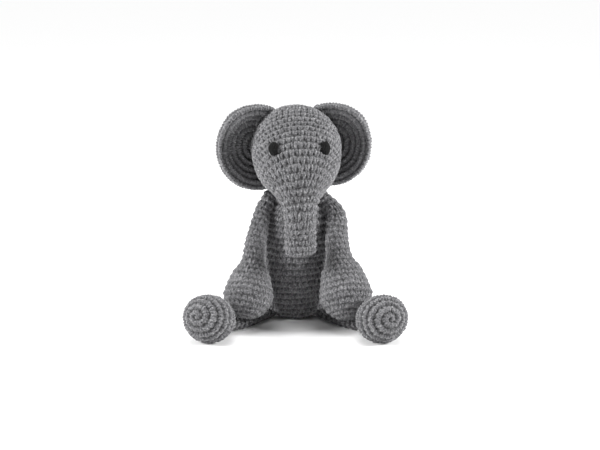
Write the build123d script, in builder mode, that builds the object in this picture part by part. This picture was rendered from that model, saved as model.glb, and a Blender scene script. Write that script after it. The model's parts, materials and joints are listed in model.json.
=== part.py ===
"""A seated, stuffed crochet elephant: a torso, a head with its trunk, ears, arms, legs and a tail.

Every limb is a crocheted cover over its own stuffing, and all of them are sewn to the torso with
yarn. The elephant sits on the XY plane and faces -Y. The origin is the middle of its seat.
Left and right are the elephant's own, so its left side is on +X. All sizes are in millimetres.
"""

from build123d import *
from math import asin, cos, dist, radians, sin, sqrt
import os

WALL = 3.0  # thickness of the crocheted fabric
GAP = 0.3  # room between two soft pieces that move against each other
YARN = 1.0  # radius of the sewing yarn
KNOT_RADIUS = 1.8  # of the yarn knot that each limb turns on
SIDES = {"left": 1, "right": -1}

# Torso, a pear on a flat seat: radius at each height, up to the round neck.
SEAT_RADIUS = 9.0
TORSO_WIDTHS = [
    (15.5, 3.0),
    (20.7, 10.0),
    (23.7, 20.0),
    (24.3, 30.0),
    (23.5, 42.0),
    (21.2, 56.0),
    (17.6, 69.0),
]
NECK_RADIUS = 15.5
NECK_HEIGHT = 79.8
NECK_SEAM_TILT = 22.0  # the crease under the head is lower in front
NECK_SEAM_LIFT = 8.2

# Head, a ball that tapers forwards and down into the root of the trunk.
HEAD_CENTRE = Vector(0, -8, 119.3)
HEAD_RADIUS = 31.0
HEAD_TURN = 4.5  # the head looks a little to its left
HEAD_SLOPE = 42.0  # how far its middle line points below the level
HEAD_TAPER = [(30.2, 10.0), (27.0, 20.0), (22.3, 28.0), (17.2, 35.0), (13.4, 41.0), (11.6, 46.0)]

# Trunk, which hangs from a round root.
TRUNK_ROOT = 42.0  # from the middle of the head, along its middle line
TRUNK_RADIUS = 10.8
TRUNK_WAIST = 10.3
TRUNK_LENGTH = 37.5
TRUNK_MID_SLOPE = 55.0  # the middle of its travel, below the level
TRUNK_SETBACK = 4.8  # how far the head's rim stands back from the root

# Eyes, pads of black yarn sewn on the face.
EYE_HALF_WIDTH = 3.3
EYE_HALF_HEIGHT = 4.3
EYE_DEPTH = 1.5
EYE_SPREAD = 17.2
EYE_HEIGHT = 125.2

# Ears, round bowls of two layers, open to the front.
EAR_RADIUS = 30.0
EAR_THICKNESS = 6.0
EAR_BEND = 60.0  # radius of the bowl
EAR_BACK = Vector(24, 6.5, 121.3)
EAR_TILT = 12.0
EAR_STANDOFF = 3.4  # from the head, filled by the seam

# Arms, with a ball for a hand.
SHOULDER = Vector(22.3, -2, 84)
HAND = Vector(32.8, -31.5, 28.8)
ARM_RADIUS = 5.7
ARM_WIDTHS = [(6.0, 10.0), (7.6, 25.0), (9.6, 38.0), (13.4, 50.0)]
HAND_RADIUS = 17.0
HAND_TIP = 18.5  # from the middle of the hand to the end of the arm
ARM_STUFFED_FROM = 34.0  # above this the two layers of the sleeve lie against each other

# Legs, empty tubes that lie flat under the hands, with a stuffed ball for a foot.
HIP = Vector(21.6, -8.4, 5.0)
ANKLE = Vector(50.0, -50.0, 7.0)
FOOT = Vector(57.3, -62, 15.8)
LEG_RADIUS = 4.6
ANKLE_RADIUS = 5.2
FOOT_RADIUS = 16.9

# Tail, a thin crocheted tube with a brush of cut yarn.
TAIL_ROOT = Vector(0, 27.2, 37.0)
TAIL_RADIUS = 2.8
TAIL_LENGTH = 19.0
TAIL_SLOPE = 70.0
BRUSH_RADIUS = 3.6
BRUSH_LENGTH = 9.0

NECK = Vector(0, 0, NECK_HEIGHT)


def turned(point):
    """A point of the head, after the head's slight turn about the neck."""
    return Vector(point).rotate(Axis.Z, HEAD_TURN)


def lathe_plane(origin, along):
    """A plane for a profile whose Y runs along the axis of the piece."""
    across = along.cross(Vector(0.3, 0.2, 0.1)).normalized()
    return Plane(origin=origin, x_dir=across, z_dir=across.cross(along))


def lathe(plane, points):
    """A round piece from (radius, place) points along its skin."""
    path = [points[-1], (0, points[-1][1]), (0, points[0][1]), points[0]]
    corners = path[:1] + [b for a, b in zip(path, path[1:]) if dist(a, b) > 1e-6]
    with BuildPart() as made:
        with BuildSketch(plane):
            with BuildLine():
                Spline(points)
                Polyline(corners)
            make_face()
        revolve(axis=Axis(plane.origin, plane.y_dir))
    return made.part


def dome(radius):
    """Points round the near end of a piece that starts as a ball about its origin."""
    return [(radius * sin(radians(a)), -radius * cos(radians(a))) for a in range(0, 91, 15)]


def ball(centre, radius):
    """A ball on its own."""
    with BuildPart() as made:
        with Locations(centre):
            Sphere(radius)
    return made.part


def beyond(plane, size=200):
    """All that lies on the far side of a plane."""
    with BuildPart() as made:
        with BuildSketch(plane):
            Rectangle(size, size)
        extrude(amount=size)
    return made.part


def combine(whole, add_parts=(), cut_parts=(), keep=None):
    """A piece with others added, cut away, or cut back to what it shares with one more."""
    with BuildPart() as made:
        add(whole)
        for piece in add_parts:
            add(piece)
        for piece in cut_parts:
            add(piece, mode=Mode.SUBTRACT)
        if keep is not None:
            add(keep, mode=Mode.INTERSECT)
    return made.part


def write(name, part):
    """Labels a finished piece and writes it."""
    part.label = name
    export_step(part, f"parts/{name}.step")


def torso_solid(inset):
    """The torso from its flat seat to its round neck, made smaller all round by the inset."""
    upright = Plane(origin=(0, 0, 0), x_dir=(1, 0, 0), z_dir=(0, -1, 0))
    widths = [(radius - inset, max(height, 1.6 * inset)) for radius, height in TORSO_WIDTHS]
    outline = [(SEAT_RADIUS - inset, inset), *widths, (NECK_RADIUS - inset, NECK_HEIGHT)]
    return combine(lathe(upright, outline), [ball(NECK, NECK_RADIUS - inset)])


def make_torso():
    """The torso's cover, its stuffing, and the firm wad in the neck that the head rocks on."""
    body, hollow = torso_solid(0), torso_solid(WALL)
    write("torso_cover", combine(body, cut_parts=[hollow]))
    write("torso_stuffing", combine(hollow, cut_parts=[ball(NECK, NECK_RADIUS - WALL)]))
    write("neck_wad", ball(NECK, NECK_RADIUS - WALL - GAP))


def head_solid(centre, along, inset):
    """The whole head with its snout, made smaller all round by the inset."""
    taper = [(radius - inset, place) for radius, place in HEAD_TAPER]
    taper[-1] = (taper[-1][0], taper[-1][1] - inset)
    outline = [*dome(HEAD_RADIUS - inset), *taper]
    return lathe(lathe_plane(centre, along), outline)


def make_head():
    """The head's cover and stuffing, the seam round the neck, and the eyes."""
    slope = radians(HEAD_SLOPE)
    centre, along = turned(HEAD_CENTRE), turned((0, -cos(slope), -sin(slope)))
    body, hollow = head_solid(centre, along, 0), head_solid(centre, along, WALL)
    root = centre + along * TRUNK_ROOT
    mid = radians(TRUNK_MID_SLOPE)
    facing = turned((0, -cos(mid), -sin(mid)))
    rim = Plane(origin=root - facing * TRUNK_SETBACK, z_dir=facing)
    dents = [ball(NECK, NECK_RADIUS + GAP), ball(root, TRUNK_RADIUS + GAP), beyond(rim)]
    write("head_cover", combine(body, cut_parts=[hollow, *dents]))
    write("head_stuffing", combine(hollow, cut_parts=dents))
    make_neck_seam()
    for side, sign in SIDES.items():
        make_eye(f"{side}_eye", body, centre, sign)
    return centre, root


def make_neck_seam():
    """The ring of sewing yarn in the crease between the head and the neck."""
    from_neck = NECK_RADIUS + GAP + YARN
    upwards = Vector(0, 0, 1).rotate(Axis.X, NECK_SEAM_TILT)
    with BuildPart() as seam:
        with Locations(Plane(origin=NECK + upwards * NECK_SEAM_LIFT, z_dir=upwards)):
            Torus(sqrt(from_neck**2 - NECK_SEAM_LIFT**2), YARN)
    write("neck_seam", seam.part)


def make_eye(name, body, centre, sign):
    """One eye, a low pad whose back follows the face."""
    start = HEAD_CENTRE + Vector(sign * EYE_SPREAD, 0, EYE_HEIGHT - HEAD_CENTRE.Z)
    ahead = turned((0, -1, 0))
    sight = Axis(turned(start) + ahead * 2 * HEAD_RADIUS, ahead * -1)
    hits = body.find_intersection_points(sight)
    place, outwards = min(hits, key=lambda hit: (hit[0] - sight.position).length)
    level = Vector(0, 0, 1).cross(outwards)
    plane = Plane(origin=place - outwards * EYE_DEPTH, x_dir=level, z_dir=outwards)
    with BuildPart() as eye:
        with BuildSketch(plane):
            Ellipse(EYE_HALF_WIDTH, EYE_HALF_HEIGHT)
        extrude(amount=2 * EYE_DEPTH)
        fillet(eye.faces().sort_by(Axis(plane.origin, plane.z_dir))[-1].edges(), EYE_DEPTH * 0.9)
        add(body, mode=Mode.SUBTRACT)
    write(name, eye.part)


def trunk_outline(inset):
    """The trunk's outline from its round root to its blunt end, made smaller by the inset."""
    root, waist, end = TRUNK_RADIUS - inset, TRUNK_WAIST - inset, TRUNK_LENGTH - inset
    blunt = [(root, 0.82 * end), (0.93 * root, 0.95 * end), (0.55 * root, end)]
    return [*dome(root), (waist, 0.4 * end), *blunt]


def make_trunk(root):
    """The trunk's cover and stuffing, hanging from the round root."""
    plane = lathe_plane(root, Vector(0, 0, -1))
    body, hollow = lathe(plane, trunk_outline(0)), lathe(plane, trunk_outline(WALL))
    write("trunk_cover", combine(body, cut_parts=[hollow]))
    write("trunk_stuffing", hollow)


def make_ear(side, sign, centre):
    """One ear, a bowl cut away round the head, and the yarn along its sewn edge."""
    tilt = radians(EAR_TILT)
    forwards = turned((-sign * sin(tilt), -cos(tilt), 0))
    back = turned((sign * EAR_BACK.X, EAR_BACK.Y, EAR_BACK.Z))
    plane = lathe_plane(back, forwards)
    half = EAR_THICKNESS / 2
    spread = asin((EAR_RADIUS - half) / EAR_BEND)

    def on_bowl(radius, angle):
        return (radius * sin(angle), EAR_BEND - radius * cos(angle))

    tip = on_bowl(EAR_BEND, spread + half / EAR_BEND)
    far, near = EAR_BEND + half, EAR_BEND - half
    room_for_head = ball(centre, HEAD_RADIUS + EAR_STANDOFF)
    with BuildPart() as ear:
        with BuildSketch(plane):
            with BuildLine():
                ThreePointArc(on_bowl(far, 0), on_bowl(far, spread / 2), on_bowl(far, spread))
                ThreePointArc(on_bowl(far, spread), tip, on_bowl(near, spread))
                ThreePointArc(on_bowl(near, spread), on_bowl(near, spread / 2), on_bowl(near, 0))
                Line(on_bowl(near, 0), on_bowl(far, 0))
            make_face()
        revolve(axis=Axis(plane.origin, plane.y_dir))
        add(room_for_head, mode=Mode.SUBTRACT)
    write(f"{side}_ear", ear.part)

    # The seam lies where a ball about the head meets the middle of the bowl.
    bowl_centre = back + forwards * EAR_BEND
    between = bowl_centre - centre
    apart = between.length
    from_head = HEAD_RADIUS + EAR_STANDOFF - YARN - 0.05
    lift = (apart**2 + from_head**2 - EAR_BEND**2) / (2 * apart)
    with BuildPart() as seam:
        with Locations(Plane(origin=centre + between.normalized() * lift, z_dir=between.normalized())):
            Torus(sqrt(from_head**2 - lift**2), YARN)
        with BuildSketch(Plane(origin=back - forwards * EAR_RADIUS, z_dir=forwards)):
            Circle(EAR_RADIUS - half)
        extrude(amount=2 * EAR_RADIUS, mode=Mode.INTERSECT)
    write(f"{side}_ear_seam", seam.part)


def arm_outline(length, inset):
    """The arm's outline from its round shoulder to the tip of its hand, less the inset."""
    widths = [(radius - inset, place) for radius, place in ARM_WIDTHS]
    hand_radius, hand_tip = HAND_RADIUS - inset, HAND_TIP - inset
    hand = [
        (hand_radius * cos(radians(a)), length + hand_tip * sin(radians(a)))
        for a in (-18, 0, 30, 55, 75, 90)
    ]
    return [*dome(ARM_RADIUS - inset), *widths, *hand]


def make_arm(side, sign):
    """One arm's cover, the stuffing of its hand, and the knot that holds it at the shoulder."""
    shoulder = Vector(sign * SHOULDER.X, SHOULDER.Y, SHOULDER.Z)
    reach = Vector(sign * HAND.X, HAND.Y, HAND.Z) - shoulder
    length, along = reach.length, reach.normalized()
    plane = lathe_plane(shoulder, along)
    body, hollow = lathe(plane, arm_outline(length, 0)), lathe(plane, arm_outline(length, WALL))
    beyond_wrist = beyond(Plane(origin=shoulder + along * ARM_STUFFED_FROM, z_dir=along))
    stuffing = combine(hollow, keep=beyond_wrist)
    knot_room = ball(shoulder, KNOT_RADIUS + GAP)
    write(f"{side}_arm_cover", combine(body, cut_parts=[stuffing, knot_room]))
    write(f"{side}_hand_stuffing", stuffing)
    write(f"{side}_shoulder_knot", ball(shoulder, KNOT_RADIUS))


def cone_between(start, start_radius, end, end_radius):
    """A round piece that runs straight from one point to another."""
    along = end - start
    with BuildPart() as made:
        with BuildSketch(Plane(origin=start, z_dir=along)):
            Circle(start_radius)
        with BuildSketch(Plane(origin=end, z_dir=along)):
            Circle(end_radius)
        loft()
    return made.part


def make_leg(side, sign):
    """One leg's cover, the stuffing of its foot, and the knot that holds it at the hip."""
    hip, ankle, foot = (Vector(sign * p.X, p.Y, p.Z) for p in (HIP, ANKLE, FOOT))
    tube = cone_between(hip, LEG_RADIUS, ankle, ANKLE_RADIUS)
    rounds = [ball(hip, LEG_RADIUS), ball(ankle, ANKLE_RADIUS), ball(foot, FOOT_RADIUS)]
    inner_floor = Plane(origin=(0, 0, WALL), z_dir=(0, 0, -1))
    stuffing = combine(ball(foot, FOOT_RADIUS - WALL), cut_parts=[beyond(inner_floor)])
    below = beyond(inner_floor.offset(WALL))
    knot_room = ball(hip, KNOT_RADIUS + GAP)
    write(f"{side}_leg_cover", combine(tube, rounds, [below, stuffing, knot_room]))
    write(f"{side}_foot_stuffing", stuffing)
    write(f"{side}_hip_knot", ball(hip, KNOT_RADIUS))


def make_tail():
    """The tail's tube and the brush of cut yarn on its end."""
    slope = radians(TAIL_SLOPE)
    along = Vector(0, cos(slope), -sin(slope))
    plane = Plane(origin=TAIL_ROOT, z_dir=along)
    with BuildPart() as tail:
        with BuildSketch(plane):
            Circle(TAIL_RADIUS)
        extrude(amount=TAIL_LENGTH, taper=1.5)
        with Locations(TAIL_ROOT):
            Sphere(TAIL_RADIUS)
    write("tail_tube", tail.part)
    with BuildPart() as brush:
        with BuildSketch(plane.offset(TAIL_LENGTH)):
            Circle(TAIL_RADIUS)
        with BuildSketch(plane.offset(TAIL_LENGTH + BRUSH_LENGTH / 2)):
            Circle(BRUSH_RADIUS)
        with BuildSketch(plane.offset(TAIL_LENGTH + BRUSH_LENGTH)):
            Circle(0.7 * BRUSH_RADIUS)
        loft()
    write("tail_brush", brush.part)


os.makedirs("parts", exist_ok=True)
make_torso()
head_centre, trunk_root = make_head()
make_trunk(trunk_root)
for side_name, side_sign in SIDES.items():
    make_ear(side_name, side_sign, head_centre)
    make_arm(side_name, side_sign)
    make_leg(side_name, side_sign)
make_tail()
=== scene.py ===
"""A seated crochet elephant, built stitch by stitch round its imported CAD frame.

Every soft piece is a closed skin of yarn. Its smooth base is rings round a middle line, and each
vertex is then raised by the yarn that passes there: the two legs of every single crochet stitch and
the loop along the top of each round, worked in one continuous spiral. Lengths in this file are in
millimetres until a mesh is written, because yarn and stitches are that size.
"""

import json
import math

import bpy
import numpy as np
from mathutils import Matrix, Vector


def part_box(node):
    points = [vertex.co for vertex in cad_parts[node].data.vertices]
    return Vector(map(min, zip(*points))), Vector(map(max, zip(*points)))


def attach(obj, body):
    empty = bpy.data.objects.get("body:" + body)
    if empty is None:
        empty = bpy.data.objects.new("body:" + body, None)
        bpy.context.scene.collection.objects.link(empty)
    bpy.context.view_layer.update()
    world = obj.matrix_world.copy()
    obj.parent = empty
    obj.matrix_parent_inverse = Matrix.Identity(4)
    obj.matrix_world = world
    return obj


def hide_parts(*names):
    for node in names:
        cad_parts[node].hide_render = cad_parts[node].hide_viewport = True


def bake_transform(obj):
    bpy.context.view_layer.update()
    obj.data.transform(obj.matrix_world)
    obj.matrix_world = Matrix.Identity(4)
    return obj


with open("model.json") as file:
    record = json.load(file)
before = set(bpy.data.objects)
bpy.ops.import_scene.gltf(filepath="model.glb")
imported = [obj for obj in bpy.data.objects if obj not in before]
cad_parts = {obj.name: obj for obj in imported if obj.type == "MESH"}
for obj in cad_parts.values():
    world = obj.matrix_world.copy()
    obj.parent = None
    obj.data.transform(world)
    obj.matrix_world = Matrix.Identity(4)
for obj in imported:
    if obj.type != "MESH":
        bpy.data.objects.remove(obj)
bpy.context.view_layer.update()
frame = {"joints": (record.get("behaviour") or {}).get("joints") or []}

MM = 0.001
SIDES = {"left": 1, "right": -1}

# The yarn and its stitches.
# A way to work a piece: from one round to the next, how far the middle of a round swells, how far
# the stitches wander, and how much of the relief is real height.
FINE = (4.2, 0.35, 1.0, 0.75)  # the head with its trunk, and the torso
SLEEVE = (4.2, 0.35, 1.0, 0.55)  # the arms and the tail
BOLD = (5.0, 1.9, 0.45, 1.0)  # the legs, whose rounds stand out as cords
RIDGED = (5.3, 2.4, 0.4, 1.2)  # the ears, with one cord along the rim
STITCH_WIDTH = 4.2
YARN_RADIUS = 1.1
LEG_HEIGHTS = (-1.6, -0.3, -0.15, -1.1)  # of a leg of a stitch, from its foot to its top
LOOP_HEIGHTS = (-1.9, -1.7, -1.7, -1.9)  # of the loop along the top of a round
LEAN = 0.4  # how far each round is shifted against the one below, in stitches
FLOOR_DEPTH = -2.0  # how deep the holes between the stitches go
GRID = 0.42  # distance between neighbouring vertices
SKIN = 0.75  # how far the yarn stands above the smooth base
SEWING_YARN = 0.85  # radius
EYE_YARN = 0.72
TUFT_YARN = 0.42
FLECK_SCALE = 1100  # flecks and fibres to the metre
FUZZ_SCALE = 2600


# ---------------------------------------------------------------- places from the frame, and sizes


def joint_place(name):
    """Where a joint turns, in millimetres."""
    joint = next(j for j in frame["joints"] if j["name"] == name)
    return np.array(joint["pos_m"]) / MM


def box_mm(node):
    """Lowest and highest corner of a CAD node, in millimetres."""
    low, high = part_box(node)
    return np.array(low) / MM, np.array(high) / MM


def unit(vector):
    """The vector at length one."""
    vector = np.asarray(vector, float)
    return vector / np.linalg.norm(vector)


head_low, head_high = box_mm("head_cover")
HEAD_RADIUS = (head_high[0] - head_low[0]) / 2
HEAD_CENTRE = np.append((head_low[0] + head_high[0]) / 2, head_high[1:] - HEAD_RADIUS)
TRUNK_ROOT = joint_place("trunk_lift")
TRUNK_END = box_mm("trunk_cover")[0][2]
NECK = joint_place("head_turn")

# Sizes of the soft toy. A width is (place along the piece, radius).
HEAD_TAPER = ((10, 30.0), (20, 26.6), (28, 22.0), (35, 17.4), (41, 14.0), (47, 11.9), (54, 10.9))
TRUNK_TIP = ((16, 10.0), (8, 10.3), (3.2, 10.4), (1.2, 9.6), (0.6, 8.2), (1.2, 5.0), (2.2, 0))
TORSO_WIDTHS = (
    *((0.9, 0), (0.95, 8.0), (1.1, 13.0), (3.4, 17.2), (9.6, 21.0), (20, 23.7)),
    *((30, 24.3), (42, 23.6), (56, 22.2), (68, 20.6), (76, 19.2), (81, 17.0)),
)
NECK_ROOM = 15.6  # the head's socket round the neck
NECK_TILT = 22.0  # the crease under the head is lower in front
HAND_RADIUS = 17.0
HAND_INSET = (0.4, 1.2)  # of the hand's ball, back and up from the faces of the CAD's box
FOOT_RADIUS = 16.9
ARM_TOP = (5.2, 0.5, 1.8)  # where it starts: inwards, back and up from the shoulder's joint
ARM_TOP_RADIUS = 6.0
ARM_BOW = {"left": (7.2, 3.2), "right": (3.2, 3.1)}  # outwards, near the shoulder and half way down
ARM_WIDTHS = {
    "left": ((10, 7.0), (22, 7.9), (34, 8.6), (46, 9.3), (52.5, 11.6), (58, 14.8)),
    "right": ((10, 6.5), (22, 6.8), (33, 7.8), (46, 8.2), (52.5, 10.3), (58, 13.6)),
}
HAND_SIZE = {"left": 1.09, "right": 1.03}
# The soft hands sink on to the empty legs: outwards, back and up.
HAND_SHIFT = {"left": (1.2, -3.0, -3.4), "right": (-1.0, -3.0, -3.4)}
LEG_TOP_RADIUS = 5.2
LEG_WIDTHS = ((14, 4.7), (26, 5.0))
LEG_FLATNESS = ((0, 0.9), (12, 0.72), (26, 0.72))  # (place along the leg, height for a width of one)
SOLE_FACES = {"left": (19, 16), "right": (28, 21)}  # degrees outwards and up
EAR_TILT = 12.0
EAR_BEND = 34.0
EAR_BACK = 16.5  # of the bowl's middle behind the middle of the head
EAR_THICKNESS = 6.2
EAR_OPEN = 125  # degrees either way in which an ear may stand clear of the head
EAR_CAP = 10  # rings that close each end of an ear
EAR_SIZE = {"left": 0.95, "right": 0.98}
EAR_SHIFT = {"left": 0.6, "right": -0.8}  # one ear is sewn a little higher
EAR_SPREAD = {"left": 25.8, "right": 28.2}  # from the middle of the head to the middle of the bowl
EYE_HALF_WIDTH = 3.4
EYE_HALF_HEIGHT = 4.0
TUFT_ENDS = 22

# Light and camera, in metres and degrees.
FLOOR_HALF = 12.0
FILL = 0.2
OVERHEAD = 2.8  # watts to the square metre
OVERHEAD_SPREAD = 45
SIDE_BOX = 10.2  # watts
BOX_PLACE = (0.72, -0.16, 0.36)  # of the one on the left; the other mirrors it
BOX_SIZE = 0.25
CAMERA_LENS = 77.2
CAMERA_AIM = (0.0031, 0, 0.065)
CAMERA_AWAY = 0.9
CAMERA_RISE = 13

head_along = unit(TRUNK_ROOT - HEAD_CENTRE)
head_ahead = unit([head_along[0], head_along[1], 0])
head_left = np.cross(head_ahead, [0, 0, -1])


# ---------------------------------------------------------------- smooth bases


def smooth_curve(points, step):
    """Points at even steps along a smooth curve through the given points."""
    points = np.asarray(points, float)
    ends = np.vstack([2 * points[0] - points[1], points, 2 * points[-1] - points[-2]])
    t = np.linspace(0, 1, 40, endpoint=False)[:, None]
    fine = []
    for i in range(len(points) - 1):
        a, b, c, d = ends[i : i + 4]
        square, cube = 2 * a - 5 * b + 4 * c - d, 3 * b - a - 3 * c + d
        fine.append(0.5 * (2 * b + (c - a) * t + square * t**2 + cube * t**3))
    fine = np.vstack([*fine, points[-1:]])
    run = np.append(0, np.cumsum(np.linalg.norm(np.diff(fine, axis=0), axis=1)))
    count = max(3, int(round(run[-1] / step)) + 1)
    even = np.linspace(0, run[-1], count)
    return np.stack([np.interp(even, run, column) for column in fine.T], 1)


def carried_frames(line, hint):
    """Two directions across a line at each of its points, carried along it without twisting."""
    ways = np.gradient(line, axis=0)
    ways /= np.linalg.norm(ways, axis=1)[:, None]
    first, out = np.asarray(hint, float), []
    for way in ways:
        first = unit(first - way * (first @ way))
        out.append(first)
    first = np.array(out)
    return first, np.cross(ways, first)


def ring_counts(radii):
    """Vertices in each ring: a power of two times a base, so that neighbouring rings match."""
    most = int(np.ceil(2 * np.pi * radii.max() / GRID / 64)) * 64
    counts = []
    for radius in radii:
        count = most
        while count > 16 and count / 2 >= 2 * np.pi * radius / GRID:
            count //= 2
        counts.append(count)
    return counts


class Skin:
    """A closed mesh of rings between two poles, before the yarn is raised on it."""

    def __init__(self, rings, start, end):
        """rings are arrays of points; start and end are the poles."""
        self.counts = [len(ring) for ring in rings]
        self.first = np.cumsum([1, *self.counts])[:-1]
        self.points = np.vstack([start, *rings, end])
        self.turn = np.concatenate([[0], *[np.arange(n) / n for n in self.counts], [0]])
        rings_of = [np.full(n, i) for i, n in enumerate(self.counts)]
        self.ring = np.concatenate([[0], *rings_of, [len(rings) - 1]])
        self.quads, self.triangles = self.faces()

    def faces(self):
        """Quads between equal rings, and triangles where the count halves or a pole closes."""
        quads, triangles = [], []
        last = len(self.points) - 1

        def fan(pole, first, count, flip):
            here = first + np.arange(count)
            after = first + (np.arange(count) + 1) % count
            edge = (after, here) if flip else (here, after)
            triangles.append(np.stack([np.full(count, pole), *edge], 1))

        fan(0, self.first[0], self.counts[0], True)
        for i in range(len(self.counts) - 1):
            a, b, na, nb = self.first[i], self.first[i + 1], self.counts[i], self.counts[i + 1]
            n = min(na, nb)
            here, after = np.arange(n), (np.arange(n) + 1) % n
            if na == nb:
                quads.append(np.stack([a + here, a + after, b + after, b + here], 1))
                continue
            fine, coarse, flip = (a, b, False) if na > nb else (b, a, True)
            left, middle, right = fine + 2 * here, fine + 2 * here + 1, fine + (2 * here + 2) % (2 * n)
            low, high = coarse + here, coarse + after
            for tri in ((left, middle, low), (middle, high, low), (middle, right, high)):
                triangles.append(np.stack(tri[::-1] if flip else tri, 1))
        fan(last, self.first[-1], self.counts[-1], False)
        return np.vstack(quads), np.vstack(triangles)

    def normals(self):
        """Smooth outward directions at the vertices."""
        out = np.zeros_like(self.points)
        for faces in (self.quads, self.triangles):
            p = self.points[faces]
            if faces.shape[1] == 4:
                across = np.cross(p[:, 2] - p[:, 0], p[:, 3] - p[:, 1])
            else:
                across = -np.cross(p[:, 2] - p[:, 0], p[:, 1] - p[:, 0])
            for corner in range(faces.shape[1]):
                np.add.at(out, faces[:, corner], across)
        return out / np.maximum(np.linalg.norm(out, axis=1), 1e-12)[:, None]


def tube_rings(line, radii, hint, flat=None):
    """Rings round a middle line. flat gives, at each point, how wide it is along the hint."""
    first, second = carried_frames(line, hint)
    wide = np.ones(len(line)) if flat is None else flat
    rings = []
    for centre, radius, x, y, share, count in zip(line, radii, first, second, wide, ring_counts(radii)):
        angle = 2 * np.pi * np.arange(count)[:, None] / count
        rings.append(centre + radius * (np.cos(angle) * x * share + np.sin(angle) * y / share))
    return rings


def along_line(route, places=np.zeros(1)):
    """Points of a smooth route at given distances from its start, and its length.

    It runs on straight past its ends.
    """
    fine = smooth_curve(route, 0.2)
    run = np.append(0, np.cumsum(np.linalg.norm(np.diff(fine, axis=0), axis=1)))
    inside = np.stack([np.interp(places, run, column) for column in fine.T], 1)
    before, after = np.minimum(places, 0)[:, None], np.maximum(places - run[-1], 0)[:, None]
    return inside + before * unit(fine[1] - fine[0]) + after * unit(fine[-1] - fine[-2]), run[-1]


# ---------------------------------------------------------------- stitches


def chance(numbers, seed):
    """A repeatable value in -1..1 for each stitch number."""
    wave = np.sin(numbers * 12.9898 + seed * 78.233) * 43758.5453
    return 2 * (wave - np.floor(wave)) - 1


def strand(x, y, start, end, bow, radius, heights):
    """The height of a bowed strand of yarn over each point, with the place along and across it."""
    run = (end[0] - start[0], end[1] - start[1])
    length = np.hypot(*run)
    place = np.clip(((x - start[0]) * run[0] + (y - start[1]) * run[1]) / length**2, 0, 1)
    off_x = x - start[0] - place * run[0] - bow * np.sin(np.pi * place)
    off_y = y - start[1] - place * run[1]
    off = np.hypot(off_x, off_y) / radius
    middle = np.interp(place, (0, 0.25, 0.55, 1), heights)
    return middle + radius * (1 - off**2), place * length, np.sign(off_x) * off


def crochet(rounds, turn, girth, seed, pitch, swell, wander):
    """How high the yarn stands at each vertex, and where on its strand the vertex is.

    rounds counts the rounds up to each vertex and already includes the spiral, turn is its place
    round the piece in 0..1, and girth is the way round the piece there.
    """
    here = np.floor(rounds).astype(int)
    lowest, highest = here.min(), here.max()
    girths = [girth[here == k] for k in range(lowest, highest + 1)]
    middle = np.array([np.median(round_girth) if len(round_girth) else 0 for round_girth in girths])
    stitches = np.maximum(6, np.round(middle / STITCH_WIDTH)).astype(int)
    before = np.append(0, np.cumsum(stitches))[:-1]
    height = FLOOR_DEPTH + swell * np.sin(np.pi * (rounds - here)) ** 0.7
    yarn = np.zeros((len(rounds), 3))

    def raise_yarn(new, along, across, numbers, part):
        above = new > height
        height[above] = new[above]
        yarn[above, 0] = (along + 7.3 * chance(numbers, part))[above]
        yarn[above, 1] = across[above]
        yarn[above, 2] = chance(numbers, part + 5)[above]

    for step in (-1, 0, 1):
        k = np.clip(here + step, lowest, highest)
        count = stitches[k - lowest]
        place = count * turn + LEAN * (k + turn)
        cell = girth / count
        y = (rounds - k) * pitch
        for side_step in (-1, 0, 1):
            nearest = np.floor(place) + side_step
            number = before[k - lowest] + nearest
            x = (place - nearest - 0.5) * cell - 0.4 * wander * chance(number, seed)
            y_here = y - 0.38 * wander * chance(number, seed + 1)
            radius = YARN_RADIUS * (1 + 0.12 * chance(number, seed + 2))
            lift = 0.3 * wander * chance(number, seed + 3)
            for leg in (-1, 1):
                start = (leg * 0.1 * cell, 0.06 * pitch)
                end = (leg * 0.37 * cell, 0.8 * pitch)
                heights = (*LEG_HEIGHTS[:3], LEG_HEIGHTS[3] + 0.12 * leg)
                height_here, along, across = strand(x, y_here, start, end, leg * 0.25, radius, heights)
                raise_yarn(height_here + lift, along, across, number, leg + 2)
            start, end = (-0.5 * cell, 0.95 * pitch), (0.5 * cell, 0.95 * pitch)
            raise_yarn(*strand(x, y_here, start, end, 0, 0.8 * radius, LOOP_HEIGHTS), number, 9)
    return height, yarn


def write_mesh(name, points, faces, attributes, material):
    """A mesh object in metres, shaded smooth, with its named attributes."""
    mesh = bpy.data.meshes.new(name)
    corners = np.concatenate([f.ravel() for f in faces])
    sizes = np.concatenate([np.full(len(f), f.shape[1]) for f in faces])
    mesh.vertices.add(len(points))
    mesh.vertices.foreach_set("co", (points * MM).astype(np.float32).ravel())
    mesh.loops.add(len(corners))
    mesh.loops.foreach_set("vertex_index", corners.astype(np.int32))
    mesh.polygons.add(len(sizes))
    mesh.polygons.foreach_set("loop_start", (np.cumsum(sizes) - sizes).astype(np.int32))
    mesh.update(calc_edges=True)
    mesh.polygons.foreach_set("use_smooth", np.ones(len(sizes), bool))
    for key, values in attributes.items():
        kind = "FLOAT_VECTOR" if values.ndim == 2 else "FLOAT"
        field = "vector" if values.ndim == 2 else "value"
        attribute = mesh.attributes.new(key, kind, "POINT")
        attribute.data.foreach_set(field, values.astype(np.float32).ravel())
    mesh.validate()
    mesh.materials.append(material)
    piece = bpy.data.objects.new(name, mesh)
    bpy.context.scene.collection.objects.link(piece)
    return piece


def knit(name, skin, rounds, turn, girth, seed, work):
    """Raises the stitches on a skin and writes it as a piece."""
    *way, relief = work
    height, yarn = crochet(rounds, turn, girth, seed, *way)
    points = skin.points + skin.normals() * relief * height[:, None]
    return write_mesh(name, points, [skin.quads, skin.triangles], {"yarn": yarn, "relief": height}, GREY)


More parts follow.
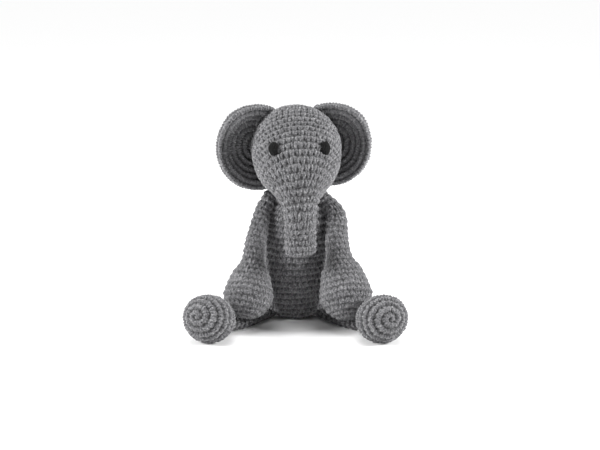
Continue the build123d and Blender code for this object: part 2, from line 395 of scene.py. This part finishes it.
def knit_tube(name, route, outline, hint, seed, flat=None, from_end=False, work=FINE):
    """A stuffed tube of crochet with a round closed end at both ends of its outline.

    The outline's points are (place along the route, radius). from_end works the rounds from the
    last point back, so that the first round closes that end.
    """
    edge = smooth_curve(outline, GRID)
    line = along_line(route, edge[:, 0])[0]
    radii = np.maximum(edge[:, 1], 0)
    inner = slice(1, -1)
    shares = None if flat is None else np.interp(edge[inner, 0], *zip(*flat))
    rings = tube_rings(line[inner], radii[inner], hint, shares)
    skin = Skin(rings, line[0], line[-1])
    reach = np.append(0, np.cumsum(np.hypot(*np.diff(edge, axis=0).T)))
    if from_end:
        reach = reach[-1] - reach
    at = np.concatenate([[reach[0]], reach[1:-1][skin.ring[1:-1]], [reach[-1]]])
    round_girth = 2 * np.pi * np.concatenate([[0.3], radii[1:-1][skin.ring[1:-1]], [0.3]])
    return knit(name, skin, at / work[0] - skin.turn, skin.turn, round_girth, seed, work)


# ---------------------------------------------------------------- materials


def node_material(name):
    """An empty node material with its shader and output."""
    material = bpy.data.materials.new(name)
    material.use_nodes = True
    nodes, links = material.node_tree.nodes, material.node_tree.links
    return material, nodes, links, nodes["Principled BSDF"]


def noise(nodes, links, source, scale, detail, stretch=None):
    """A noise texture over a vector, squeezed by the stretch."""
    texture = nodes.new("ShaderNodeTexNoise")
    texture.inputs["Scale"].default_value = scale
    texture.inputs["Detail"].default_value = detail
    if stretch:
        squeeze = nodes.new("ShaderNodeMapping")
        squeeze.inputs["Scale"].default_value = stretch
        links.new(source, squeeze.inputs["Vector"])
        source = squeeze.outputs["Vector"]
    links.new(source, texture.inputs["Vector"])
    return texture


def wool(name, dark, middle, light, sheen):
    """Heathered wool: fibres that run along each strand, its twist, and painted shade in the holes."""
    material, nodes, links, shader = node_material(name)
    yarn = nodes.new("ShaderNodeAttribute")
    yarn.attribute_name = "yarn"
    relief = nodes.new("ShaderNodeAttribute")
    relief.attribute_name = "relief"
    place = nodes.new("ShaderNodeTexCoord")

    fibres = noise(nodes, links, yarn.outputs["Vector"], 1.6, 3.0, (0.55, 1.6, 2.5))
    flecks = noise(nodes, links, place.outputs["Object"], FLECK_SCALE, 2.0)
    both = nodes.new("ShaderNodeMix")
    both.inputs["Factor"].default_value = 0.45
    links.new(fibres.outputs["Fac"], both.inputs["A"])
    links.new(flecks.outputs["Fac"], both.inputs["B"])
    ramp = nodes.new("ShaderNodeValToRGB")
    ramp.color_ramp.elements[0].position, ramp.color_ramp.elements[0].color = 0.36, (*dark, 1)
    ramp.color_ramp.elements[1].position, ramp.color_ramp.elements[1].color = 0.66, (*light, 1)
    ramp.color_ramp.elements.new(0.51).color = (*middle, 1)
    links.new(both.outputs["Result"], ramp.inputs["Fac"])

    # Painted shade: the lower the yarn's relief, the darker its colour, so the holes between the stitches
    # are darkened in the colour itself; strands with no relief are darkened a little all over.
    painted_hole_shade = nodes.new("ShaderNodeMapRange")
    painted_hole_shade.inputs["From Min"].default_value, painted_hole_shade.inputs["From Max"].default_value = -1.5, 0.5
    painted_hole_shade.inputs["To Min"].default_value, painted_hole_shade.inputs["To Max"].default_value = 0.25, 1.0
    links.new(relief.outputs["Fac"], painted_hole_shade.inputs["Value"])
    shade = nodes.new("ShaderNodeMix")
    shade.data_type, shade.blend_type = "RGBA", "MULTIPLY"
    shade.inputs["Factor"].default_value = 1.0
    links.new(ramp.outputs["Color"], shade.inputs["A"])
    links.new(painted_hole_shade.outputs["Result"], shade.inputs["B"])
    links.new(shade.outputs["Result"], shader.inputs["Base Color"])

    twist = nodes.new("ShaderNodeTexWave")
    twist.inputs["Scale"].default_value = 0.28
    twist.inputs["Distortion"].default_value = 1.2
    twist.inputs["Detail"].default_value = 1.0
    plies = nodes.new("ShaderNodeMapping")
    plies.inputs["Scale"].default_value = (1.0, 0.9, 0.0)
    plies.inputs["Rotation"].default_value = (0, 0, 0.5)
    links.new(yarn.outputs["Vector"], plies.inputs["Vector"])
    links.new(plies.outputs["Vector"], twist.inputs["Vector"])
    ply_bump = nodes.new("ShaderNodeBump")
    ply_bump.inputs["Strength"].default_value = 0.5
    ply_bump.inputs["Distance"].default_value = 0.35 * MM
    links.new(twist.outputs["Fac"], ply_bump.inputs["Height"])
    fuzz = noise(nodes, links, place.outputs["Object"], FUZZ_SCALE, 2.0)
    fuzz_bump = nodes.new("ShaderNodeBump")
    fuzz_bump.inputs["Strength"].default_value = 0.5
    fuzz_bump.inputs["Distance"].default_value = 0.3 * MM
    links.new(fuzz.outputs["Fac"], fuzz_bump.inputs["Height"])
    links.new(ply_bump.outputs["Normal"], fuzz_bump.inputs["Normal"])
    links.new(fuzz_bump.outputs["Normal"], shader.inputs["Normal"])

    shader.inputs["Roughness"].default_value = 0.95
    shader.inputs["Specular IOR Level"].default_value = 0.15
    shader.inputs["Sheen Weight"].default_value = sheen
    shader.inputs["Sheen Roughness"].default_value = 0.45
    return material


GREY = wool("grey_wool", (0.045, 0.045, 0.048), (0.125, 0.124, 0.13), (0.30, 0.30, 0.305), 0.3)
BLACK = wool("black_yarn", (0.003, 0.003, 0.003), (0.007, 0.007, 0.007), (0.016, 0.016, 0.017), 0.03)


# ---------------------------------------------------------------- sewing yarn


def yarn_tube(path, radius, sides=10):
    """Points, quads and triangles of one closed strand of yarn along a path, with rounded ends."""
    path = np.asarray(path, float)
    first, second = carried_frames(path, (0.31, 0.52, 0.8))
    ways = np.gradient(path, axis=0)
    ways /= np.linalg.norm(ways, axis=1)[:, None]
    centres = [path[0] - ways[0] * radius * c for c in (0.87, 0.5)]
    centres += [*path, *(path[-1] + ways[-1] * radius * c for c in (0.5, 0.87))]
    girths = [0.5, 0.87, *np.ones(len(path)), 0.87, 0.5]
    pick = [0, 0, *range(len(path)), -1, -1]
    angle = 2 * np.pi * np.arange(sides)[:, None] / sides
    rings = []
    for centre, girth, i in zip(centres, girths, pick):
        rings.append(centre + radius * girth * (np.cos(angle) * first[i] + np.sin(angle) * second[i]))
    return Skin(rings, path[0] - ways[0] * radius, path[-1] + ways[-1] * radius)


def yarn_piece(name, paths, radius, material, sides=10):
    """Several strands of yarn as one piece."""
    points, quads, triangles, yarn, base = [], [], [], [], 0
    for number, path in enumerate(paths):
        skin = yarn_tube(path, radius, sides)
        run = np.append(0, np.cumsum(np.linalg.norm(np.diff(np.asarray(path), axis=0), axis=1)))
        places = np.interp(skin.ring, [2, len(path) + 1], [0, run[-1]])
        round_place = np.abs(2 * skin.turn - 1) * 2 - 1
        shade = np.full(len(places), chance(number, 3.3))
        yarn.append(np.stack([places + 3 * number, round_place, shade], 1))
        points.append(skin.points)
        quads.append(skin.quads + base)
        triangles.append(skin.triangles + base)
        base += len(skin.points)
    yarn = np.vstack(yarn)
    faces = [np.vstack(quads), np.vstack(triangles)]
    attributes = {"yarn": yarn, "relief": np.zeros(len(yarn))}
    return write_mesh(name, np.vstack(points), faces, attributes, material)


def whip_stitch(place, across, outward, way, reach, rise):
    """The path of one sewing stitch that arches over a seam and leans along it."""
    arch = np.linspace(-1, 1, 9)[:, None]
    over = outward * rise * (1 - arch**2) - outward * 0.6
    return place + across * reach * arch + over + way * 0.9 * arch


# ---------------------------------------------------------------- the pieces


def press(piece, rule):
    """Moves the vertices of a piece by a rule on their places, in millimetres."""
    places = np.empty(len(piece.data.vertices) * 3, np.float32)
    piece.data.vertices.foreach_get("co", places)
    moved = rule(places.reshape(-1, 3) / MM) * MM
    piece.data.vertices.foreach_set("co", moved.astype(np.float32).ravel())
    piece.data.update()


def off_the_floor(points):
    """Flattens what would go into the floor."""
    points = points.copy()
    points[:, 2] = np.maximum(points[:, 2], 0.15 + 0.12 * np.clip(points[:, 2], -1.5, 0.15))
    return points


def round_cap(radius, start, near=True, steps=9):
    """Outline points of a quarter circle that opens at start, or closes there if it isn't near."""
    angles = np.radians(np.linspace(0, 90, steps))
    if near:
        return [(start + radius * (1 - math.cos(a)), radius * math.sin(a)) for a in angles]
    return [(start - radius * (1 - math.cos(a)), radius * math.sin(a)) for a in angles[::-1]]


def head_and_trunk():
    """The head's ball and its trunk, worked in one from the back of the head."""
    bend = TRUNK_ROOT + [0, 0, -9]
    tip = np.array([TRUNK_ROOT[0] + 0.4, TRUNK_ROOT[1] - 0.5, TRUNK_END])
    back = HEAD_CENTRE - head_along * HEAD_RADIUS
    snout = HEAD_CENTRE + head_along * (np.linalg.norm(TRUNK_ROOT - HEAD_CENTRE) - 13)
    route = [back, HEAD_CENTRE, snout, bend, (bend + tip) / 2, tip]
    length = along_line(route)[1]
    outline = round_cap(HEAD_RADIUS - SKIN, 0)
    outline += [(HEAD_RADIUS + place, radius - SKIN) for place, radius in HEAD_TAPER]
    outline += [(length - before, radius) for before, radius in TRUNK_TIP]
    piece = knit_tube("head_and_trunk", route, outline, head_left, 1)

    def round_the_neck(points):
        off = points - NECK
        far = np.linalg.norm(off, axis=1)[:, None]
        pressed = NECK_ROOM - 0.25 * (NECK_ROOM - np.minimum(far, NECK_ROOM))
        return NECK + off * np.maximum(far, pressed) / far

    press(piece, round_the_neck)
    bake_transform(piece)
    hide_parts("head_cover", "head_stuffing", "trunk_cover", "trunk_stuffing")


def torso():
    """The pear of the torso, worked from the seat up to the round neck that sits in the head."""
    outline = [(height, max(radius - SKIN, 0)) for height, radius in TORSO_WIDTHS]
    neck = NECK_ROOM - 2 * SKIN
    top = NECK[2] + neck
    outline += [(NECK[2] + neck * math.sin(a), neck * math.cos(a)) for a in np.radians(range(25, 91, 10))]
    outline += [(top, 0)]
    piece = knit_tube("torso", [(0, 0, 0), (0, 0, 40), (1.6, 0, 70), (0, 0, top)], outline, (1, 0, 0), 2)
    press(piece, off_the_floor)
    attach(piece, "torso")
    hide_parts("torso_cover", "torso_stuffing", "neck_wad")


def arm(side, sign):
    """One arm, worked from the hand up to the narrow shoulder."""
    low, high = box_mm(f"{side}_arm_cover")
    shoulder = joint_place(f"{side}_arm_swing")
    hand_x = high[0] - HAND_RADIUS if sign > 0 else low[0] + HAND_RADIUS
    hand = np.array([hand_x, *(low[1:] + HAND_RADIUS + HAND_INSET)])
    hand += np.array([sign, 1, 1]) * HAND_SHIFT[side]
    upper, lower = (np.array([sign * bow, 0, 0]) for bow in ARM_BOW[side])
    top_end = shoulder + np.array([-sign, 1, 1]) * ARM_TOP
    reach = hand - top_end
    route = [top_end, top_end + reach * 0.2 + upper, top_end + reach * 0.5 + lower, hand]
    length = along_line(route)[1]
    top, ball = ARM_TOP_RADIUS - SKIN, HAND_RADIUS * HAND_SIZE[side] - SKIN
    outline = [(place - top, radius) for place, radius in round_cap(top, 0)]
    outline += [(place, radius - SKIN) for place, radius in ARM_WIDTHS[side]]
    outline += [(length + place, radius) for place, radius in round_cap(ball, ball + 0.6, near=False)]
    piece = knit_tube(f"{side}_arm", route, outline, (1, 0, 0), 3 + sign, from_end=True, work=SLEEVE)
    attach(piece, f"{side}_arm")
    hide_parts(f"{side}_arm_cover", f"{side}_hand_stuffing", f"{side}_shoulder_knot")


def leg(side, sign):
    """One leg, worked from the sole of the ball foot back to the hip."""
    low, high = box_mm(f"{side}_leg_cover")
    hip = joint_place(f"{side}_leg_splay")
    foot_x = high[0] - FOOT_RADIUS if sign > 0 else low[0] + FOOT_RADIUS
    foot = np.array([foot_x, low[1] + FOOT_RADIUS, high[2] - FOOT_RADIUS])
    out, up = (math.radians(angle) for angle in SOLE_FACES[side])
    sole = np.array([sign * math.sin(out) * math.cos(up), -math.cos(out) * math.cos(up), math.sin(up)])
    start = hip - unit([hip[0], hip[1], 0]) * 4.0
    under_hand = hip + (foot - hip) * 0.36
    under_hand[2] = 3.4
    ankle = foot - sole * FOOT_RADIUS * 0.9 + [0, 0, -1.0]
    ball = FOOT_RADIUS - SKIN
    route = [start, under_hand, ankle, foot, foot + sole * ball]
    length = along_line(route)[1] - ball
    top = LEG_TOP_RADIUS - SKIN
    outline = [(place - top, radius) for place, radius in round_cap(top, 0)]
    outline += [(place, radius - SKIN) for place, radius in LEG_WIDTHS]
    outline += [(length - ball - 4, 7.4 - SKIN), (length - ball, 9.3 - SKIN)]  # the ankle
    outline += [(length - 0.75 * ball, 0.72 * ball), (length - 0.4 * ball, 0.93 * ball)]
    outline += [(length + place, radius) for place, radius in round_cap(ball, ball, near=False)]
    flat = [*LEG_FLATNESS, (length - ball, 0.9), (length - 0.4 * ball, 0.96)]
    piece = knit_tube(f"{side}_leg", route, outline, (0, 0, 1), 6 + sign, flat, from_end=True, work=BOLD)
    press(piece, off_the_floor)
    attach(piece, f"{side}_leg")
    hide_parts(f"{side}_leg_cover", f"{side}_foot_stuffing", f"{side}_hip_knot")


class EarShape:
    """Places on a cupped ear, by arc from the middle of its bowl, angle, and depth in its layers."""

    def __init__(self, side, sign):
        low, high = box_mm(f"{side}_ear")
        tilt = math.radians(EAR_TILT)
        rise = (low[2] + high[2]) / 2 - HEAD_CENTRE[2] + EAR_SHIFT[side]
        radius = EAR_SIZE[side] * (high[2] - low[2]) / 2
        self.half = EAR_THICKNESS / 2
        self.rim = EAR_BEND * math.asin((radius - self.half) / EAR_BEND)
        self.ahead = unit(head_ahead * math.cos(tilt) - head_left * sign * math.sin(tilt))
        self.out = unit(head_left * sign * math.cos(tilt) + head_ahead * math.sin(tilt))
        across = head_left * sign * EAR_SPREAD[side]
        self.middle = HEAD_CENTRE + across - head_ahead * EAR_BACK + [0, 0, rise]

    def corner(self, phi):
        """How much further the rim stands out at an angle: the ear has a blunt corner above."""
        return 1 + 0.1 * np.exp(-(((phi - math.radians(50)) / 0.5) ** 2))

    def at(self, rho, phi, depth):
        """A point of the ear; depth is negative towards the open side of the bowl."""
        angle, far = rho * self.corner(phi) / EAR_BEND, EAR_BEND + depth
        return (
            self.middle
            + np.multiply.outer(far * np.sin(angle) * np.cos(phi), self.out)
            + np.multiply.outer(far * np.sin(angle) * np.sin(phi), [0, 0, 1])
            + np.multiply.outer(EAR_BEND - far * np.cos(angle), self.ahead)
        )

    def one(self, rho, phi, depth=0.0):
        """A single point of the ear."""
        return self.at(np.array([rho]), np.array([phi]), np.array([depth]))[0]

    def seam(self, phi, depth=0.0):
        """How far out the ear meets the head at an angle."""
        rho = np.linspace(0.4, self.rim, 400)
        far = np.linalg.norm(self.at(rho, np.full(400, phi), depth) - HEAD_CENTRE, axis=1)
        inside = np.where(far < HEAD_RADIUS + 0.6)[0]
        return rho[inside[-1]] if len(inside) else rho[0]

    def section(self, phi, start, sides):
        """Round the two layers at an angle: the points, how far the fabric runs to each, and its arc."""
        layer, edge = self.rim - start, np.pi * self.half
        place = np.linspace(0, 2 * layer + edge + 2 * self.half, sides, endpoint=False)
        bent = (place - layer) / self.half
        back = place - layer - edge
        parts = [place < layer, bent < np.pi, back < layer]
        arcs = [start + place, self.rim + self.half * np.sin(bent), self.rim - back]
        depths = [-self.half, -self.half * np.cos(bent), self.half]
        rho = np.select(parts, arcs, start)
        depth = np.select(parts, depths, self.half - (back - layer))
        run = np.minimum(start + place, start + 2 * layer + edge)
        return self.at(rho, np.full(sides, phi), depth), run, rho


def ear(side, sign):
    """One ear, two layers of rounds that meet in a thick rim and are sewn to the head."""
    shape = EarShape(side, sign)
    open_angles = np.radians(np.arange(-EAR_OPEN, EAR_OPEN + 0.1, 0.5))
    reach = [phi for phi in open_angles if shape.seam(phi) < shape.rim - 0.5]
    ends = (reach[0], reach[-1])[::sign]  # mirrored with the ear, so that the skin keeps its outside out
    angles = np.linspace(*ends, int(shape.rim * (reach[-1] - reach[0]) / GRID))
    inner = np.array([shape.seam(phi) for phi in angles])
    sides = 2 * int((shape.rim - inner.min() + 4) / GRID)
    rings, rounds, girth, turns = [], [], [], []
    for index in range(-EAR_CAP, len(angles) + EAR_CAP):
        at = int(np.clip(index, 0, len(angles) - 1))
        phi = angles[at]
        ring, run, rho = shape.section(phi, inner[at], sides)
        if index != at:
            over = (index - at) / EAR_CAP * math.pi / 2
            beyond = shape.one(shape.rim, phi + 0.1 * sign * np.sign(over))
            way = unit(beyond - shape.one(shape.rim, phi))
            middle = ring.mean(0)
            ring = middle + (ring - middle) * max(math.cos(over), 0.08)
            ring = ring + way * abs(math.sin(over)) * shape.half
        rings.append(ring)
        rounds.append(run / RIDGED[0])
        girth.append(2 * np.pi * np.maximum(rho, 6))
        turns.append(np.full(sides, phi / (2 * np.pi) + 0.5))
    at_rim = (shape.rim + np.pi * shape.half / 2) / RIDGED[0] - 0.5  # one round lies along the rim
    rounds = [ring - at_rim + 20 for ring in rounds]
    skin = Skin(rings, rings[0].mean(0), rings[-1].mean(0))
    with_poles = (np.concatenate([[v[0].mean()], *v, [v[-1].mean()]]) for v in (turns, rounds, girth))
    turn, rounds, girth = with_poles
    piece = knit(f"{side}_ear_cup", skin, rounds, turn, girth, 11 + sign, RIDGED)
    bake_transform(piece)
    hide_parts(f"{side}_ear")
    ear_stitches(side, shape, reach)


def ear_stitches(side, shape, reach):
    """The sewing stitches along both faces of one ear, where it meets the head."""
    paths = []
    for layer in (-1, 1):
        depth = layer * (shape.half + 0.6)
        for phi in np.arange(reach[0] + 0.06, reach[-1] - 0.05, 0.13):
            place = shape.one(shape.seam(phi, depth) + 0.4, phi, depth)
            from_head = unit(place - HEAD_CENTRE)
            off_ear = -shape.ahead * layer
            way = unit(np.cross(from_head, off_ear))
            outward = unit(from_head + off_ear)
            paths.append(whip_stitch(place, unit(np.cross(way, outward)), outward, way, 1.9, 1.2))
    seam = yarn_piece(f"{side}_ear_stitches", paths, SEWING_YARN, GREY)
    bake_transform(seam)
    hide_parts(f"{side}_ear_seam")


def eye(side):
    """One eye, upright stitches of black yarn laid side by side over a few level ones."""
    low, high = box_mm(f"{side}_eye")
    face = (low + high) / 2
    outward = unit(face - HEAD_CENTRE)
    level = unit(np.cross([0, 0, 1], outward))
    up = np.cross(outward, level)
    arch = np.linspace(-1, 1, 11)[:, None]

    def stitch(along, across, half, row, lift):
        dome = lift + 1.1 * (1 - arch**4) - 0.05 * row**2
        return face + outward * dome + across * row + along * half * arch

    rows = EYE_HALF_HEIGHT * 0.62 * np.linspace(-1, 1, 5)
    paths = [stitch(level, up, EYE_HALF_WIDTH * 0.7, row, -0.6) for row in rows]
    for number, row in enumerate(np.linspace(-1, 1, 7)):
        half = EYE_HALF_HEIGHT * math.sqrt(1 - 0.75 * row**2) * (1 + 0.07 * float(chance(number, 2.0)))
        path = stitch(up, level, half, (EYE_HALF_WIDTH - 0.5) * row, 0.3)
        paths.append(path - outward * 0.45 * row**2 - level * 0.12 * row * (1 - arch))
    piece = yarn_piece(f"{side}_eye_stitches", paths, EYE_YARN, BLACK)
    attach(piece, "head")
    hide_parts(f"{side}_eye")


def ring_of_stitches(name, centre, axis, radius, count, reach, rise, tip=0.0):
    """Whip stitches in a ring about an axis; tip turns them from along the axis to away from it."""
    axis = unit(axis)
    x = unit(np.cross(axis, (0.3, 0.5, 0.81)))
    y = np.cross(axis, x)
    paths = []
    for number in range(count):
        angle = 2 * math.pi * (number + 0.2 * float(chance(number, 1.7))) / count
        away = x * math.cos(angle) + y * math.sin(angle)
        way = np.cross(axis, away)
        outward = unit(away + axis * tip)
        across = unit(np.cross(way, outward))
        paths.append(whip_stitch(centre + away * radius, across, outward, way, reach, rise))
    return yarn_piece(name, paths, SEWING_YARN, GREY)


def limb_seams(side):
    """The stitches that hold one arm and one leg to the torso."""
    for joint, body, height, size in (("arm_swing", "shoulder", 0, 5.2), ("leg_splay", "hip", 0.5, 4.6)):
        place = joint_place(f"{side}_{joint}")
        inwards = unit([-place[0], -place[1], 0])
        centre = place + inwards * size * 0.86 + [0, 0, height]
        name = f"{side}_{body}_stitches"
        seam = ring_of_stitches(name, centre, -inwards, size * 0.62, 9, 2.2, 0.7, 0.5)
        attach(seam, f"{side}_{body}")


def neck_seam():
    """The stitches round the neck, under the head."""
    low, high = box_mm("neck_seam")
    centre = (low + high) / 2
    axis = [0, -math.sin(math.radians(NECK_TILT)), math.cos(math.radians(NECK_TILT))]
    seam = ring_of_stitches("neck_stitches", centre, axis, (high[0] - low[0]) / 2 - 2.2, 24, 2.1, 0.9)
    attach(seam, "head")
    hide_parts("neck_seam")


def tail():
    """A thin crocheted tail with a brush of loose yarn ends."""
    low, high = box_mm("tail_tube")
    root = joint_place("tail_swing")
    tip = np.array([0, high[1] - 2.0, low[2] + 1.0])
    inside = root + [0, -5.5, 1.0]
    way = unit(tip - root)
    route = [inside, root + [0, -0.5, 0], (root + tip) / 2 + [0, 0.8, -0.4], tip]
    length = along_line(route)[1]
    outline = round_cap(2.6, 0, steps=5)
    outline += [(length * 0.5, 2.4), (length - 2.0, 2.2)] + round_cap(2.1, length, near=False, steps=5)
    tube = knit_tube("tail", route, outline, (1, 0, 0), 15, work=SLEEVE)
    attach(tube, "tail")
    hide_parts("tail_tube")
    paths = []
    for number in range(TUFT_ENDS):
        angle, spread = 2.4 * number, 0.9 + 1.9 * math.sqrt((number + 0.5) / TUFT_ENDS)
        away = np.array([math.cos(angle), math.sin(angle) * 0.9, 0])
        reach = np.linspace(0, 1, 8)[:, None]
        wave = 0.35 * np.sin(reach * 9 + number)
        end = 8.6 + 1.2 * float(chance(number, 4.4))
        off = away * (0.6 + (spread - 0.6) * reach**0.7) + np.cross(way, away) * wave
        paths.append(tip - way * 0.5 + way * reach * end + off)
    brush = yarn_piece("tail_tuft", paths, TUFT_YARN, GREY, sides=7)
    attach(brush, "tail")
    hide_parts("tail_brush")


head_and_trunk()
torso()
neck_seam()
for side_name, side_sign in SIDES.items():
    ear(side_name, side_sign)
    eye(side_name)
    arm(side_name, side_sign)
    leg(side_name, side_sign)
    limb_seams(side_name)
tail()


# ---------------------------------------------------------------- floor, lights and camera


def lamp(kind, name, place, target, energy):
    """A light that points at the target."""
    data = bpy.data.lights.new(name, kind)
    data.energy = energy
    light = bpy.data.objects.new(name, data)
    bpy.context.scene.collection.objects.link(light)
    light.location = place
    light.rotation_euler = (Vector(target) - Vector(place)).to_track_quat("-Z", "Y").to_euler()
    return data


def white_floor():
    """A matt white floor."""
    mesh = bpy.data.meshes.new("floor")
    corners = [(x * FLOOR_HALF, y * FLOOR_HALF, 0) for x, y in ((-1, -1), (1, -1), (1, 1), (-1, 1))]
    mesh.from_pydata(corners, [], [(0, 1, 2, 3)])
    floor = bpy.data.objects.new("floor", mesh)
    bpy.context.scene.collection.objects.link(floor)
    material, _, _, shader = node_material("white_floor")
    shader.inputs["Base Color"].default_value = (0.93, 0.93, 0.93, 1)
    shader.inputs["Roughness"].default_value = 0.9
    mesh.materials.append(material)


def studio():
    """The floor, a dim white room with a light above and one at each side, and the camera."""
    white_floor()
    world = bpy.data.worlds.new("white_room")
    bpy.context.scene.world = world
    world.use_nodes = True
    background = world.node_tree.nodes["Background"]
    background.inputs["Color"].default_value = (1, 1, 1, 1)
    seen = world.node_tree.nodes.new("ShaderNodeLightPath")
    strength = world.node_tree.nodes.new("ShaderNodeMapRange")
    strength.inputs["To Min"].default_value = FILL  # what lights the toy; the eye sees plain white
    world.node_tree.links.new(seen.outputs["Is Camera Ray"], strength.inputs["Value"])
    world.node_tree.links.new(strength.outputs["Result"], background.inputs["Strength"])
    overhead = lamp("SUN", "overhead", (0, 0.08, 1.0), (0, 0, 0), OVERHEAD)
    overhead.angle = math.radians(OVERHEAD_SPREAD)
    for side, sign in SIDES.items():
        place = (sign * BOX_PLACE[0], *BOX_PLACE[1:])
        box = lamp("AREA", f"{side}_box", place, (0, 0, 0.07), SIDE_BOX)
        box.shape, box.size = "SQUARE", BOX_SIZE
    camera = bpy.data.objects.new("camera", bpy.data.cameras.new("camera"))
    bpy.context.scene.collection.objects.link(camera)
    camera.data.lens = CAMERA_LENS
    camera.data.clip_end = 60
    aim = Vector(CAMERA_AIM)
    rise = math.radians(CAMERA_RISE)
    camera.location = aim + CAMERA_AWAY * Vector((0, -math.cos(rise), math.sin(rise)))
    camera.rotation_euler = (aim - camera.location).to_track_quat("-Z", "Y").to_euler()
    bpy.context.scene.camera = camera
    bpy.context.scene.view_settings.view_transform = "Standard"


studio()
